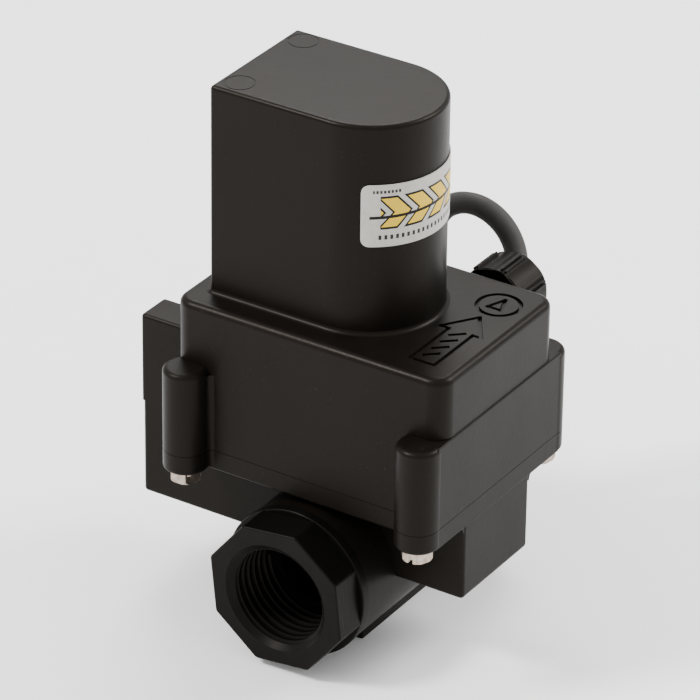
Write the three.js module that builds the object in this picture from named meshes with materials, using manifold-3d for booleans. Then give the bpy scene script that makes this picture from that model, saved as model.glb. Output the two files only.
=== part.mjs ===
// A small plastic-bodied solenoid valve with threaded ports, in millimetres, +Z up.
// Origin: centre of the mounting pad's bottom face. The flow runs along +Y, and the
// solenoid and the diaphragm valve stand on the Z axis.
import * as THREE from 'three';
import { mergeVertices } from 'three/addons/utils/BufferGeometryUtils.js';
import Module from 'manifold-3d';

const wasm = await Module();
wasm.setup();

// ---- driving dimensions ----
const HOUSING_HALF_X = 30;
const HOUSING_HALF_Y = 20.4;
const HOUSING_CORNER = 3.8;
const WALL = 3.4;
const GASKET_INSET = 2.65;
const CLEARANCE = 0.3;

const PORT_Z = 16.2;
const BLOCK_BOTTOM = 16.5;
const PLATE_BOTTOM = 32.7;
const SEAM_Z = 36.9;
const BOSS_TOP = 54.5;
const WING_TOP = 55.9;
const WING_END_X = -43.2;
const WING_FRONT_Y = -12.1;
const WING_BACK_Y = -4.1;
const SIDE_BAND_X = 30.3;
const COVER_TOP = 67.2;
const TOWER_TOP = 110.5;

const BLOCK_END_X = -43;
const BLOCK_HALF_Y = 11.9;
const PAD_HALF_X = 7.9;
const BARREL_RADIUS = 15.2;
const BARREL_END_Y = 21.4;

const TOWER_FLAT_X = -25.4;
const TOWER_CENTRE_X = 0.6;
const TOWER_HALF_Y = 14.67;
const TOWER_WALL = 2.2;

const BOSS_X = 26;
const BOSS_Y = 22;
const BOSS_RADIUS = 4.4;

const FITTING_FACE_Y = 30.5;
const FITTING_RING_Y = 23.5;
const FITTING_RING_RADIUS = 15.4;
const OCTAGON_TURN = THREE.MathUtils.degToRad(28.7);
const SPIGOT_RADIUS = 12.2;
const SPIGOT_END_Y = 14.6;
const COUNTERBORE_RADIUS = SPIGOT_RADIUS + CLEARANCE;
const COUNTERBORE_FLOOR_Y = 12.2;
const THREAD_MOUTH_RADIUS = 11.15;
const THREAD_RADIUS = 10.35;
const THREAD_END_RADIUS = 9.55;
const PASSAGE_RADIUS = 6.5;

const SEAT_BORE = 4.6;
const SEAT_RADIUS = 6.2;
const SEAT_Z = 31;
const CHAMBER_RADIUS = 9.6;
const CHAMBER_FLOOR_Z = 24;
const LEDGE_RADIUS = 13.9;
const LEDGE_Z = 34.4;

const PLUNGER_STROKE = 4;
const PLUNGER_RADIUS = 4.35;
const PLUNGER_BOTTOM = 42;
const PLUNGER_TOP = 76.1;
const CORE_BOTTOM = PLUNGER_TOP + PLUNGER_STROKE + CLEARANCE;
const TUBE_OUTER = 5;
const TUBE_INNER = 4.55;
const TUBE_BOTTOM = 39.2;
const COIL_BOTTOM = 62.6;
const COIL_TOP = 100.4;
const COIL_RADIUS = 11.6;
const YOKE_PLATE = 1.8;
const YOKE_HALF_Y = 8;

const GLAND_X = 12.9;
const GLAND_Z = 58.6;
const GLAND_THREAD_RADIUS = 5.2;
const GLAND_NUT_RADIUS = 7.1;
const GLAND_RIB_RADIUS = 7.55;
const GLAND_RIBS = 7;
const GLAND_NUT_FRONT_Y = 25.2;
const GLAND_NUT_END_Y = 34.2;

const CABLE_DIAMETER = 4.4;
const COIL_CENTRE = [-31, 54];
const COIL_INNER = 19.6;
const COIL_OUTER = 28.4;
const COIL_HEIGHT = 8.9;

const BONNET_SCREW_AT = 12.6;
// half sizes and corner radius of the gasket's centre line
const GASKET_LINE = [HOUSING_HALF_X, HOUSING_HALF_Y, HOUSING_CORNER].map((v) => v - GASKET_INSET);

// ---- materials ----
function finish(color, roughness, metalness) {
  return new THREE.MeshStandardMaterial({ color, roughness, metalness });
}

const blackNylon = () => finish(0x24211e, 0.5, 0);
const blackRubber = () => finish(0x1b1b1c, 0.85, 0);
const steel = () => finish(0xb4aca2, 0.35, 1);

// ---- solids ----
function solidOf(geometry) {
  const bare = geometry.index ? geometry.toNonIndexed() : geometry.clone();
  bare.deleteAttribute('normal');
  bare.deleteAttribute('uv');
  const merged = mergeVertices(bare, 1e-4);
  return new wasm.Manifold(new wasm.Mesh({
    numProp: 3,
    vertProperties: new Float32Array(merged.attributes.position.array),
    triVerts: new Uint32Array(merged.index.array),
  }));
}

function geometryOf(solid) {
  const mesh = solid.getMesh();
  const geometry = new THREE.BufferGeometry();
  geometry.setAttribute('position', new THREE.BufferAttribute(new Float32Array(mesh.vertProperties), 3));
  geometry.setIndex(new THREE.BufferAttribute(new Uint32Array(mesh.triVerts), 1));
  geometry.computeVertexNormals();
  return geometry;
}

function join(solids) {
  return solids.reduce((whole, solid) => whole.add(solid));
}

function cut(solid, tools) {
  return tools.reduce((left, tool) => left.subtract(tool), solid);
}

// a box between two corners
function box(low, high) {
  const size = high.map((value, i) => value - low[i]);
  const geometry = new THREE.BoxGeometry(...size);
  geometry.translate(...low.map((value, i) => value + size[i] / 2));
  return geometry;
}

// a cylinder along Z, from z0 to z1
function cylinderZ(x, y, radius, z0, z1, sides = 28) {
  const geometry = new THREE.CylinderGeometry(radius, radius, z1 - z0, sides);
  geometry.rotateX(Math.PI / 2);
  geometry.translate(x, y, (z0 + z1) / 2);
  return geometry;
}

// a cylinder along Y, from y0 to y1
function cylinderY(x, z, radius, y0, y1, sides = 32) {
  const geometry = new THREE.CylinderGeometry(radius, radius, y1 - y0, sides);
  geometry.translate(x, (y0 + y1) / 2, z);
  return geometry;
}

// a solid of revolution about Z from a profile of [radius, z] points, anticlockwise in that plane
function turnedZ(profile, sides = 28) {
  const geometry = new THREE.LatheGeometry(profile.map(([r, z]) => new THREE.Vector2(r, z)), sides);
  geometry.rotateX(Math.PI / 2);
  return geometry;
}

// a ring of revolution about Y through (x, z), from a closed profile of [radius, y] points
function turnedY(profile, x, z, sides = 32) {
  const closed = [...profile, profile[0]];
  const geometry = new THREE.LatheGeometry(closed.map(([r, y]) => new THREE.Vector2(r, y)), sides);
  geometry.translate(x, 0, z);
  return geometry;
}

function ringZ(inner, outer, z0, z1, sides = 32) {
  return turnedZ([[inner, z0], [outer, z0], [outer, z1], [inner, z1], [inner, z0]], sides);
}

function roundedRectangle(halfX, halfY, radius) {
  const shape = new THREE.Shape();
  shape.absarc(halfX - radius, halfY - radius, radius, 0, Math.PI / 2);
  shape.absarc(radius - halfX, halfY - radius, radius, Math.PI / 2, Math.PI);
  shape.absarc(radius - halfX, radius - halfY, radius, Math.PI, Math.PI * 1.5);
  shape.absarc(halfX - radius, radius - halfY, radius, Math.PI * 1.5, Math.PI * 2);
  return shape;
}

// the tower's plan: flat at -X, half round at +X
function towerPlan(inset) {
  const half = TOWER_HALF_Y - inset;
  const flat = TOWER_FLAT_X + inset;
  const shape = new THREE.Shape();
  shape.moveTo(flat, -half);
  shape.lineTo(TOWER_CENTRE_X, -half);
  shape.absarc(TOWER_CENTRE_X, 0, half, -Math.PI / 2, Math.PI / 2);
  shape.lineTo(flat, half);
  return shape;
}

function prism(shape, z0, z1, curveSegments = 3) {
  const geometry = new THREE.ExtrudeGeometry(shape, { depth: z1 - z0, bevelEnabled: false, curveSegments });
  geometry.translate(0, 0, z0);
  return geometry;
}

// a prism whose top edge is rounded, standing on z0
function roundedTopPrism(makeShape, z0, z1, round, curveSegments = 3) {
  const geometry = new THREE.ExtrudeGeometry(makeShape(round), {
    depth: z1 - z0,
    bevelThickness: round,
    bevelSize: round,
    bevelSegments: 3,
    curveSegments,
  });
  geometry.translate(0, 0, z0 - round);
  return cut(solidOf(geometry), [solidOf(box([-90, -90, z0 - 20], [90, 90, z0]))]);
}

function tubeAlong(points, diameter, steps, sides) {
  const curve = new THREE.CatmullRomCurve3(points.map((p) => new THREE.Vector3(...p)), false, 'centripetal');
  const section = new THREE.Shape();
  section.absarc(0, 0, diameter / 2, 0, Math.PI * 2);
  return new THREE.ExtrudeGeometry(section, { steps, extrudePath: curve, curveSegments: sides / 2 });
}

function helixPoints(radius, z0, z1, turns, perTurn) {
  const count = turns * perTurn;
  return Array.from({ length: count + 1 }, (_, i) => {
    const angle = (i / perTurn) * Math.PI * 2;
    return [radius * Math.cos(angle), radius * Math.sin(angle), z0 + ((z1 - z0) * i) / count];
  });
}

const group = new THREE.Group();

function piece(name, shape, material) {
  const geometry = shape.getMesh ? geometryOf(shape) : shape;
  const mesh = new THREE.Mesh(geometry, material);
  mesh.name = name;
  group.add(mesh);
  return mesh;
}

group.name = 'solenoid_valve';

const corners = [[1, 1], [-1, 1], [-1, -1], [1, -1]];

// ---- valve body: base plate, block, barrel and pad, with the flow passages ----
function valveBody() {
  const plate = prism(roundedRectangle(HOUSING_HALF_X, HOUSING_HALF_Y, HOUSING_CORNER), PLATE_BOTTOM, SEAM_Z);
  const block = box(
    [BLOCK_END_X, -BLOCK_HALF_Y, BLOCK_BOTTOM],
    [HOUSING_HALF_X, BLOCK_HALF_Y, PLATE_BOTTOM + 1],
  );
  const barrel = cylinderY(0, PORT_Z, BARREL_RADIUS, -BARREL_END_Y, BARREL_END_Y, 48);
  const pad = box([-PAD_HALF_X, -BLOCK_HALF_Y, 0], [PAD_HALF_X, BLOCK_HALF_Y, PORT_Z]);
  const wingFoot = box([BLOCK_END_X, -BLOCK_HALF_Y, PLATE_BOTTOM], [1 - HOUSING_HALF_X, WING_BACK_Y, SEAM_Z]);
  const sideBand = box([BOSS_X, -BOSS_Y, PLATE_BOTTOM], [SIDE_BAND_X, BOSS_Y, SEAM_Z]);
  const bosses = corners.map(([sx, sy]) => turnedZ([
    [0, PLATE_BOTTOM],
    [BOSS_RADIUS - 0.7, PLATE_BOTTOM],
    [BOSS_RADIUS, PLATE_BOTTOM + 0.7],
    [BOSS_RADIUS, SEAM_Z],
    [0, SEAM_Z],
  ], 20).translate(sx * BOSS_X, sy * BOSS_Y, 0));
  const outside = join([plate, block, barrel, pad, wingFoot, sideBand, ...bosses].map(solidOf));

  const screwHoles = corners.map(([sx, sy]) => cylinderZ(sx * BOSS_X, sy * BOSS_Y, 2, 30, 40, 12));
  const bonnetScrewHoles = corners.map(([sx, sy]) => (
    cylinderZ(sx * BONNET_SCREW_AT, sy * BONNET_SCREW_AT, 1.6, 33.4, 40, 12)
  ));
  const counterbores = [-1, 1].map((side) => (
    cylinderY(0, PORT_Z, COUNTERBORE_RADIUS, ...span(side, COUNTERBORE_FLOOR_Y, 25))
  ));
  const hollow = [
    cylinderZ(0, 0, LEDGE_RADIUS, LEDGE_Z, 40),
    cylinderZ(0, 0, CHAMBER_RADIUS, SEAT_Z, LEDGE_Z + 1),
    ringZ(SEAT_RADIUS, CHAMBER_RADIUS, CHAMBER_FLOOR_Z, SEAT_Z + 1),
    cylinderZ(0, 0, SEAT_BORE, PORT_Z, SEAT_Z + 1),
    cylinderY(0, PORT_Z, PASSAGE_RADIUS, -SEAT_BORE, 14),
    cylinderY(0, PORT_Z, PASSAGE_RADIUS, -14, -7.4),
    box([-5, -9.2, PORT_Z + 1], [5, -6.7, CHAMBER_FLOOR_Z + 1]),
  ];
  const groove = cut(
    solidOf(prism(roundedRectangle(...GASKET_LINE.map((v) => v + 0.6)), SEAM_Z - 0.9, 40)),
    [solidOf(prism(roundedRectangle(...GASKET_LINE.map((v) => v - 0.6)), 30, 41))],
  );
  const tools = [...screwHoles, ...bonnetScrewHoles, ...counterbores, ...hollow].map(solidOf);
  return cut(outside, [...tools, groove]);
}

// the two ends of a stretch along Y, on one side of the valve
function span(side, near, far) {
  return side > 0 ? [near, far] : [-far, -near];
}

// ---- cover: one moulding with the tower, the screw columns and the side wing ----
function coverShell() {
  const bottom = SEAM_Z + 0.1;
  const box1 = roundedTopPrism(
    (inset) => roundedRectangle(HOUSING_HALF_X - inset, HOUSING_HALF_Y - inset, HOUSING_CORNER - inset),
    bottom,
    COVER_TOP,
    1.5,
    4,
  );
  const tower = roundedTopPrism(towerPlan, COVER_TOP - 3, TOWER_TOP, 0.9, 12);
  const wing = solidOf(box([WING_END_X, WING_FRONT_Y, bottom], [1 - HOUSING_HALF_X, WING_BACK_Y, WING_TOP]));
  const sidePad = solidOf(box([BOSS_X, -BOSS_Y, bottom], [SIDE_BAND_X, BOSS_Y, BOSS_TOP]));
  const columns = corners.map(([sx, sy]) => solidOf(turnedZ([
    [0, bottom],
    [BOSS_RADIUS, bottom],
    [BOSS_RADIUS, BOSS_TOP - 0.9],
    [BOSS_RADIUS - 0.3, BOSS_TOP - 0.3],
    [BOSS_RADIUS - 0.9, BOSS_TOP],
    [0, BOSS_TOP],
  ], 20).translate(sx * BOSS_X, sy * BOSS_Y, 0)));
  const outside = join([box1, tower, wing, sidePad, ...columns]);

  const room = prism(
    roundedRectangle(HOUSING_HALF_X - WALL, HOUSING_HALF_Y - WALL, HOUSING_CORNER - WALL),
    30,
    COVER_TOP - 2.4,
  );
  const towerRoom = prism(towerPlan(TOWER_WALL), COVER_TOP - 5, TOWER_TOP - 2.3, 12);
  const boardSlot = box([-41, -9.3, 30], [-26, -6.1, 53]);
  const screwHoles = corners.map(([sx, sy]) => cylinderZ(sx * BOSS_X, sy * BOSS_Y, 1.75, 30, 51, 12));
  const cableHole = cylinderY(GLAND_X, GLAND_Z, GLAND_THREAD_RADIUS + CLEARANCE, 15, 24, 28);
  return cut(outside, [room, towerRoom, boardSlot, ...screwHoles, cableHole].map(solidOf));
}

function coverGasket() {
  const z0 = SEAM_Z - 0.8;
  const z1 = SEAM_Z - 0.1;
  const shape = roundedRectangle(...GASKET_LINE.map((v) => v + 0.35));
  shape.holes.push(roundedRectangle(...GASKET_LINE.map((v) => v - 0.35)));
  return prism(shape, z0, z1);
}

// a screw with a slotted hexagon head, its head below
function slottedScrew(x, y) {
  const head = new THREE.CylinderGeometry(3.25, 3.25, 2.3, 6).rotateX(Math.PI / 2);
  head.translate(0, 0, PLATE_BOTTOM - 0.3 - 1.15);
  const shank = cylinderZ(0, 0, 1.45, PLATE_BOTTOM - 1, 49.5, 14);
  const slot = box([-4, -0.45, PLATE_BOTTOM - 4], [4, 0.45, PLATE_BOTTOM - 1.6]);
  return cut(join([head, shank].map(solidOf)), [solidOf(slot)]).translate([x, y, 0]);
}

// ---- end fitting: octagon, ring, spigot and tapered female pipe thread ----
function endFitting(side) {
  const ringEnd = BARREL_END_Y + CLEARANCE;
  const profile = [
    [7.5, SPIGOT_END_Y],
    [SPIGOT_RADIUS, SPIGOT_END_Y],
    [SPIGOT_RADIUS, ringEnd],
    [FITTING_RING_RADIUS, ringEnd],
    [FITTING_RING_RADIUS, FITTING_FACE_Y],
    [THREAD_MOUTH_RADIUS, FITTING_FACE_Y],
    [THREAD_RADIUS, FITTING_FACE_Y - 0.9],
    [THREAD_END_RADIUS, 17],
    [7.5, 16.2],
  ];
  const turned = turnedY(profile, 0, PORT_Z, 40);
  const octagon = new THREE.CylinderGeometry(FITTING_RING_RADIUS, FITTING_RING_RADIUS, 20, 8, 1);
  octagon.rotateY(Math.PI / 2 - OCTAGON_TURN);
  octagon.translate(0, FITTING_RING_Y + 10, PORT_Z);
  const inner = solidOf(cylinderY(0, PORT_Z, 20, 0, FITTING_RING_Y, 32));
  const solid = solidOf(turned).intersect(solidOf(octagon).add(inner));
  return side > 0 ? solid : solid.mirror([0, 1, 0]);
}

function faceSeal(side) {
  const section = Array.from({ length: 6 }, (_, i) => {
    const angle = (i / 6) * Math.PI * 2;
    return [10 + 0.95 * Math.cos(angle), 13.4 + 0.95 * Math.sin(angle)];
  });
  const solid = solidOf(turnedY(section, 0, PORT_Z, 28));
  return side > 0 ? solid : solid.mirror([0, 1, 0]);
}

// ---- diaphragm valve ----
function diaphragm() {
  return turnedZ([
    [7.5, 32.5],
    [8.3, 32.5],
    [9.2, 33.3],
    [9.3, 34.7],
    [13.6, 34.7],
    [13.6, 36.1],
    [12.2, 36.1],
    [12.2, 35.5],
    [9, 35.5],
    [8.4, 35],
    [8.1, 33.3],
    [7.5, 33.3],
    [7.5, 32.5],
  ]);
}

function poppet() {
  const outer = solidOf(turnedZ([
    [0, 31.3],
    [5.9, 31.3],
    [5.9, 32.2],
    [7.2, 32.2],
    [7.2, 34.2],
    [3.2, 34.2],
    [2.2, 35.2],
    [2.2, 40.6],
    [1.5, 41.3],
    [0, 41.3],
  ], 24));
  return cut(outer, [solidOf(cylinderZ(0, 0, 0.8, 30, 43, 12))]);
}

function bonnet() {
  const flange = prism(roundedRectangle(15, 15, 3), 37.2, 40.2, 4);
  const turned = turnedZ([
    [0, 36.4],
    [13.5, 36.4],
    [13.5, 38],
    [7.6, 40],
    [7.6, 47],
    [0, 47],
  ]);
  const tools = [
    cylinderZ(0, 0, 9.8, 30, 39),
    cylinderZ(0, 0, TUBE_OUTER + 0.2, 38, 50),
    ...corners.map(([sx, sy]) => cylinderZ(sx * BONNET_SCREW_AT, sy * BONNET_SCREW_AT, 1.5, 30, 50, 12)),
  ];
  return cut(join([flange, turned].map(solidOf)), tools.map(solidOf));
}

function bonnetScrew(x, y) {
  const head = cylinderZ(0, 0, 2.3, 40.5, 42, 16);
  const shank = cylinderZ(0, 0, 1.2, 34, 41, 10);
  return join([head, shank].map(solidOf)).translate([x, y, 0]);
}

// ---- solenoid ----
function fixedCore() {
  return turnedZ([
    [0, CORE_BOTTOM],
    [PLUNGER_RADIUS, CORE_BOTTOM],
    [PLUNGER_RADIUS, COIL_TOP],
    [2.4, COIL_TOP],
    [2.4, 106.2],
    [0, 106.2],
  ]);
}

function plunger() {
  const rod = solidOf(cylinderZ(0, 0, PLUNGER_RADIUS, PLUNGER_BOTTOM, PLUNGER_TOP, 28));
  const springPocket = cylinderZ(0, 0, 2.7, 64, 80, 20);
  const sealPocket = cylinderZ(0, 0, 2.2, 40, 43.4, 16);
  return cut(rod, [springPocket, sealPocket].map(solidOf));
}

function yokeFrame() {
  const inside = COIL_BOTTOM - 0.3;
  const top = COIL_TOP + 0.4;
  const strip = [
    box([-14.6, -YOKE_HALF_Y, inside - YOKE_PLATE], [9.6, YOKE_HALF_Y, inside]),
    box([-14.6, -YOKE_HALF_Y, inside - YOKE_PLATE], [-12.8, YOKE_HALF_Y, top + YOKE_PLATE]),
    box([-14.6, -YOKE_HALF_Y, top], [9.6, YOKE_HALF_Y, top + YOKE_PLATE]),
  ];
  const holes = [
    cylinderZ(0, 0, TUBE_OUTER + CLEARANCE, 55, 70, 28),
    cylinderZ(0, 0, 2.7, 95, 110, 20),
  ];
  return cut(join(strip.map(solidOf)), holes.map(solidOf));
}

function coilBobbin() {
  const inner = TUBE_OUTER + CLEARANCE;
  return turnedZ([
    [inner, COIL_BOTTOM],
    [COIL_RADIUS, COIL_BOTTOM],
    [COIL_RADIUS, COIL_BOTTOM + 1.6],
    [6.6, COIL_BOTTOM + 1.6],
    [6.6, COIL_TOP - 1.6],
    [COIL_RADIUS, COIL_TOP - 1.6],
    [COIL_RADIUS, COIL_TOP],
    [inner, COIL_TOP],
    [inner, COIL_BOTTOM],
  ]);
}

function hexNut(halfAcross, bore, thickness) {
  const hexagon = new THREE.CylinderGeometry(halfAcross, halfAcross, thickness, 6);
  const hole = new THREE.CylinderGeometry(bore, bore, thickness * 2, 24);
  return cut(solidOf(hexagon), [solidOf(hole)]);
}

function driverBoard() {
  const board = box([-40.6, -8.5, 38.2], [-18.6, -6.9, 52.4]);
  const capacitor = cylinderY(-22, 47, 2.6, -7.4, -1.2, 20);
  const rectifier = box([-26.4, -7.4, 39.6], [-20.6, -4.6, 43]);
  const terminals = [41.2, 44.6].map((z) => cylinderY(-19.7, z, 0.5, -7.4, -5.4, 8));
  return join([board, capacitor, rectifier, ...terminals].map(solidOf));
}

// ---- cable gland ----
function glandBody() {
  return turnedY([
    [2.7, 13.6],
    [GLAND_THREAD_RADIUS, 13.6],
    [GLAND_THREAD_RADIUS, 20.8],
    [6.4, 20.8],
    [6.4, 22.6],
    [4.8, 22.6],
    [4.8, 31.4],
    [4, 31.4],
    [4, 26.2],
    [2.7, 26.2],
  ], GLAND_X, GLAND_Z, 28);
}

function glandSeal() {
  return turnedY([[2.5, 26.6], [3.7, 26.6], [3.7, 31.6], [2.5, 31.6]], GLAND_X, GLAND_Z, 24);
}

function glandNut() {
  const shell = solidOf(turnedY([
    [5.1, GLAND_NUT_FRONT_Y],
    [GLAND_NUT_RADIUS, GLAND_NUT_FRONT_Y],
    [GLAND_NUT_RADIUS, GLAND_NUT_END_Y - 0.8],
    [GLAND_NUT_RADIUS - 0.8, GLAND_NUT_END_Y],
    [3.9, GLAND_NUT_END_Y],
    [3.1, GLAND_NUT_END_Y - 1.2],
    [3.1, 31.9],
    [5.1, 31.9],
  ], 0, 0, 42));
  const ribs = Array.from({ length: GLAND_RIBS }, (_, i) => {
    const rib = box(
      [GLAND_NUT_RADIUS - 0.6, GLAND_NUT_FRONT_Y, -0.6],
      [GLAND_RIB_RADIUS, GLAND_NUT_END_Y - 0.5, 0.6],
    );
    const turn = THREE.MathUtils.degToRad(75) + (i / GLAND_RIBS) * Math.PI * 2;
    return solidOf(rib.rotateY(-turn));
  });
  return join([shell, ...ribs]).translate([GLAND_X, 0, GLAND_Z]);
}

// ---- label: a thin curved plate on the tower's round end ----
function label() {
  const inner = TOWER_HALF_Y + 0.08;
  const outer = inner + 0.2;
  const from = THREE.MathUtils.degToRad(-64);
  const to = THREE.MathUtils.degToRad(64);
  const shape = new THREE.Shape();
  shape.absarc(TOWER_CENTRE_X, 0, outer, from, to);
  shape.absarc(TOWER_CENTRE_X, 0, inner, to, from, true);
  return prism(shape, 85.9, 98.6, 12);
}

// ---- cable: out of the gland, down behind the housing, a coil on the floor, a connector ----
const CABLE_RUN = [
  [12.9, 24, 58.6],
  [12.9, 27.2, 58.6],
  [12.9, 30.5, 58.6],
  [12.5, 34.1, 59.2],
  [11.2, 37.2, 60.8],
  [9.3, 39.3, 63.2],
  [7, 40, 66.1],
  [4, 40, 68.5],
  [0.3, 40, 69.6],
  [-3.6, 40, 69.1],
  [-6.9, 40, 67.1],
  [-9.1, 40, 64],
  [-9.9, 40, 60.2],
  [-8.8, 39.5, 50.5],
  [-6.1, 38.4, 40.8],
  [-2.8, 37.1, 31.1],
  [-0.1, 36, 21.4],
  [1, 35.5, 11.7],
  [0.9, 36.2, 8.1],
  [0.3, 38.2, 5],
  [-0.5, 41.2, 2.9],
  [-1.4, 44.7, 2.2],
];
const CABLE_TAIL = [
  [-47.6, 49.9, 5.7],
  [-45, 49.5, 5.2],
  [-42.3, 49.5, 5],
  [-40.2, 49.5, 5],
  [-38.3, 49.5, 5],
];

function cableConnector() {
  const body = roundedRectangle(5, 4.6, 1.2);
  const collar = roundedRectangle(5.5, 5, 1.4);
  const along = [prism(body, 0, 22, 3), prism(collar, 8, 14, 3)];
  const boots = prism(roundedRectangle(3.6, 3.2, 2), -1, 1, 4);
  const upright = join([...along, boots].map(solidOf));
  const socket = solidOf(prism(roundedRectangle(3.6, 3.2, 0.8), 15, 30, 3));
  return cut(upright, [socket, solidOf(prism(roundedRectangle(9, 9, 1), -3, 0))]).rotate([90, 0, 90]);
}

piece('valve_body', valveBody(), blackNylon());
piece('cover', coverShell(), blackNylon());
piece('cover_gasket', coverGasket(), blackRubber());
const cornerNames = ['right_rear', 'left_rear', 'left_front', 'right_front'];
corners.forEach(([sx, sy], i) => {
  piece(`cover_screw_${cornerNames[i]}`, slottedScrew(sx * BOSS_X, sy * BOSS_Y), steel());
  const at = [sx * BONNET_SCREW_AT, sy * BONNET_SCREW_AT];
  piece(`bonnet_screw_${cornerNames[i]}`, bonnetScrew(...at), steel());
});
[['inlet', -1], ['outlet', 1]].forEach(([end, side]) => {
  piece(`${end}_fitting`, endFitting(side), blackNylon());
  piece(`${end}_o_ring`, faceSeal(side), blackRubber());
});
piece('diaphragm', diaphragm(), blackRubber());
piece('poppet', poppet(), finish(0xd8d2c4, 0.5, 0));
piece('diaphragm_spring', tubeAlong(helixPoints(6.2, 34.9, 38.4, 2, 16), 0.6, 40, 6), steel());
piece('bonnet', bonnet(), finish(0x2b2b2d, 0.5, 0));
piece('guide_tube', ringZ(TUBE_INNER, TUBE_OUTER, TUBE_BOTTOM, COIL_TOP - 0.4), steel());
piece('fixed_core', fixedCore(), steel());
piece('plunger', plunger(), steel());
piece('pilot_seal', cylinderZ(0, 0, 1.9, 41.6, 43.1, 16), blackRubber());
piece('plunger_spring', tubeAlong(helixPoints(2, 64.7, CORE_BOTTOM - 0.7, 7, 12), 0.6, 84, 6), steel());
piece('yoke_frame', yokeFrame(), finish(0x9a9a98, 0.4, 1));
piece('coil_bobbin', coilBobbin(), finish(0xe3ddcd, 0.55, 0));
piece('coil_winding', ringZ(6.9, 10.9, COIL_BOTTOM + 1.9, COIL_TOP - 1.9), finish(0xa85a2c, 0.35, 0.8));
const coilNut = hexNut(4.9, 2.7, 2.6);
piece('coil_nut', solidOf(geometryOf(coilNut).rotateX(Math.PI / 2).translate(0, 0, 104.4)), steel());
piece('driver_board', driverBoard(), finish(0x1f5a36, 0.5, 0));
piece('lead_wire_red', tubeAlong(
  [[13.9, 13, 58.6], [14.2, 10.5, 58.4], [12.6, 9.6, 58.2], [9.6, 10, 59.2], [7.2, 10.3, 61.4]], 1.3, 16, 8,
), finish(0xa82a22, 0.5, 0));
piece('lead_wire_black', tubeAlong(
  [
    [11.9, 13, 58.6],
    [10.8, 10.4, 56],
    [6, 8.6, 52.4],
    [-3, 8.2, 50.6],
    [-12, 4, 48.6],
    [-16.6, -2.6, 46],
    [-18, -5.4, 44.8],
  ],
  1.3, 30, 8,
), finish(0x202022, 0.5, 0));
piece('gland_body', solidOf(glandBody()), blackNylon());
const lockNut = geometryOf(hexNut(6.9, GLAND_THREAD_RADIUS + 0.2, 2.6)).rotateY(Math.PI / 6);
piece('gland_locknut', lockNut.translate(GLAND_X, 15.3, GLAND_Z), blackNylon());
piece('gland_seal', glandSeal(), blackRubber());
piece('gland_nut', glandNut(), blackNylon());
piece('label', label(), finish(0xc8c4bd, 0.4, 0));
const cableGrey = () => finish(0x38372f, 0.7, 0);
piece('cable_run', tubeAlong(CABLE_RUN, CABLE_DIAMETER, 52, 10), cableGrey());
piece('cable_coil', ringZ(COIL_INNER, COIL_OUTER, 0, COIL_HEIGHT).translate(...COIL_CENTRE, 0), cableGrey());
piece('cable_tail', tubeAlong(CABLE_TAIL, CABLE_DIAMETER, 5, 10), cableGrey());
piece('cable_connector', cableConnector().translate([-38, 49.5, 5]), finish(0x26262a, 0.5, 0));

export default group;
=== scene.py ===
# A small plastic-bodied solenoid valve with threaded ports and a cable gland.
import math

import bmesh
import bpy
from mathutils import Matrix, Vector


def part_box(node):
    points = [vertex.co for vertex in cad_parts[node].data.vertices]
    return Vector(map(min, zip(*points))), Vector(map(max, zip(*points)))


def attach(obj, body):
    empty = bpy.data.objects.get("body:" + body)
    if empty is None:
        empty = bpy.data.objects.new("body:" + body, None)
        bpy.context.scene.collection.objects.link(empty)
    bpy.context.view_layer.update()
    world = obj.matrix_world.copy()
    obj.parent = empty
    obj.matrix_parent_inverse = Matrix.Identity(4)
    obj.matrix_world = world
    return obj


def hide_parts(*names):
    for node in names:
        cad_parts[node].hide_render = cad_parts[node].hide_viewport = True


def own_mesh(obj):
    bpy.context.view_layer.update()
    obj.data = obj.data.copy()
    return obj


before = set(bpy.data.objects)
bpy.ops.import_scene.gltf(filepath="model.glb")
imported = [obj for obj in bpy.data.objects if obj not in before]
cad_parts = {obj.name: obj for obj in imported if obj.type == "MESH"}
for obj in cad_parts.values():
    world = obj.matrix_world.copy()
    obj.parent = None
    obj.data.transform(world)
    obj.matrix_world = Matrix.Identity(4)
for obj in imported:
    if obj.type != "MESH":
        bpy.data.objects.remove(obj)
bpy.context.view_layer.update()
bpy.ops.object.select_all(action="DESELECT")
MM = 0.001


# ---- camera: a long lens, looking down over the inlet's left shoulder ----
camera_data = bpy.data.cameras.new("camera")
camera_data.lens = 262.47
camera_data.sensor_width = 36
camera = bpy.data.objects.new("camera", camera_data)
bpy.context.collection.objects.link(camera)
bpy.context.scene.camera = camera
camera_roll = 0.0129
camera_right = Vector((0.8443, 0.5358, 0))
camera_back = Vector((0.4676, -0.7369, 0.4882))
camera_up = Vector((-0.2616, 0.4122, 0.8727))
camera_turn = Matrix((
    camera_right + camera_roll * camera_up,
    camera_up - camera_roll * camera_right,
    camera_back,
)).transposed()
camera.matrix_world = Matrix.Translation((0.44890, -0.71254, 0.52680)) @ camera_turn.to_4x4()


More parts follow.
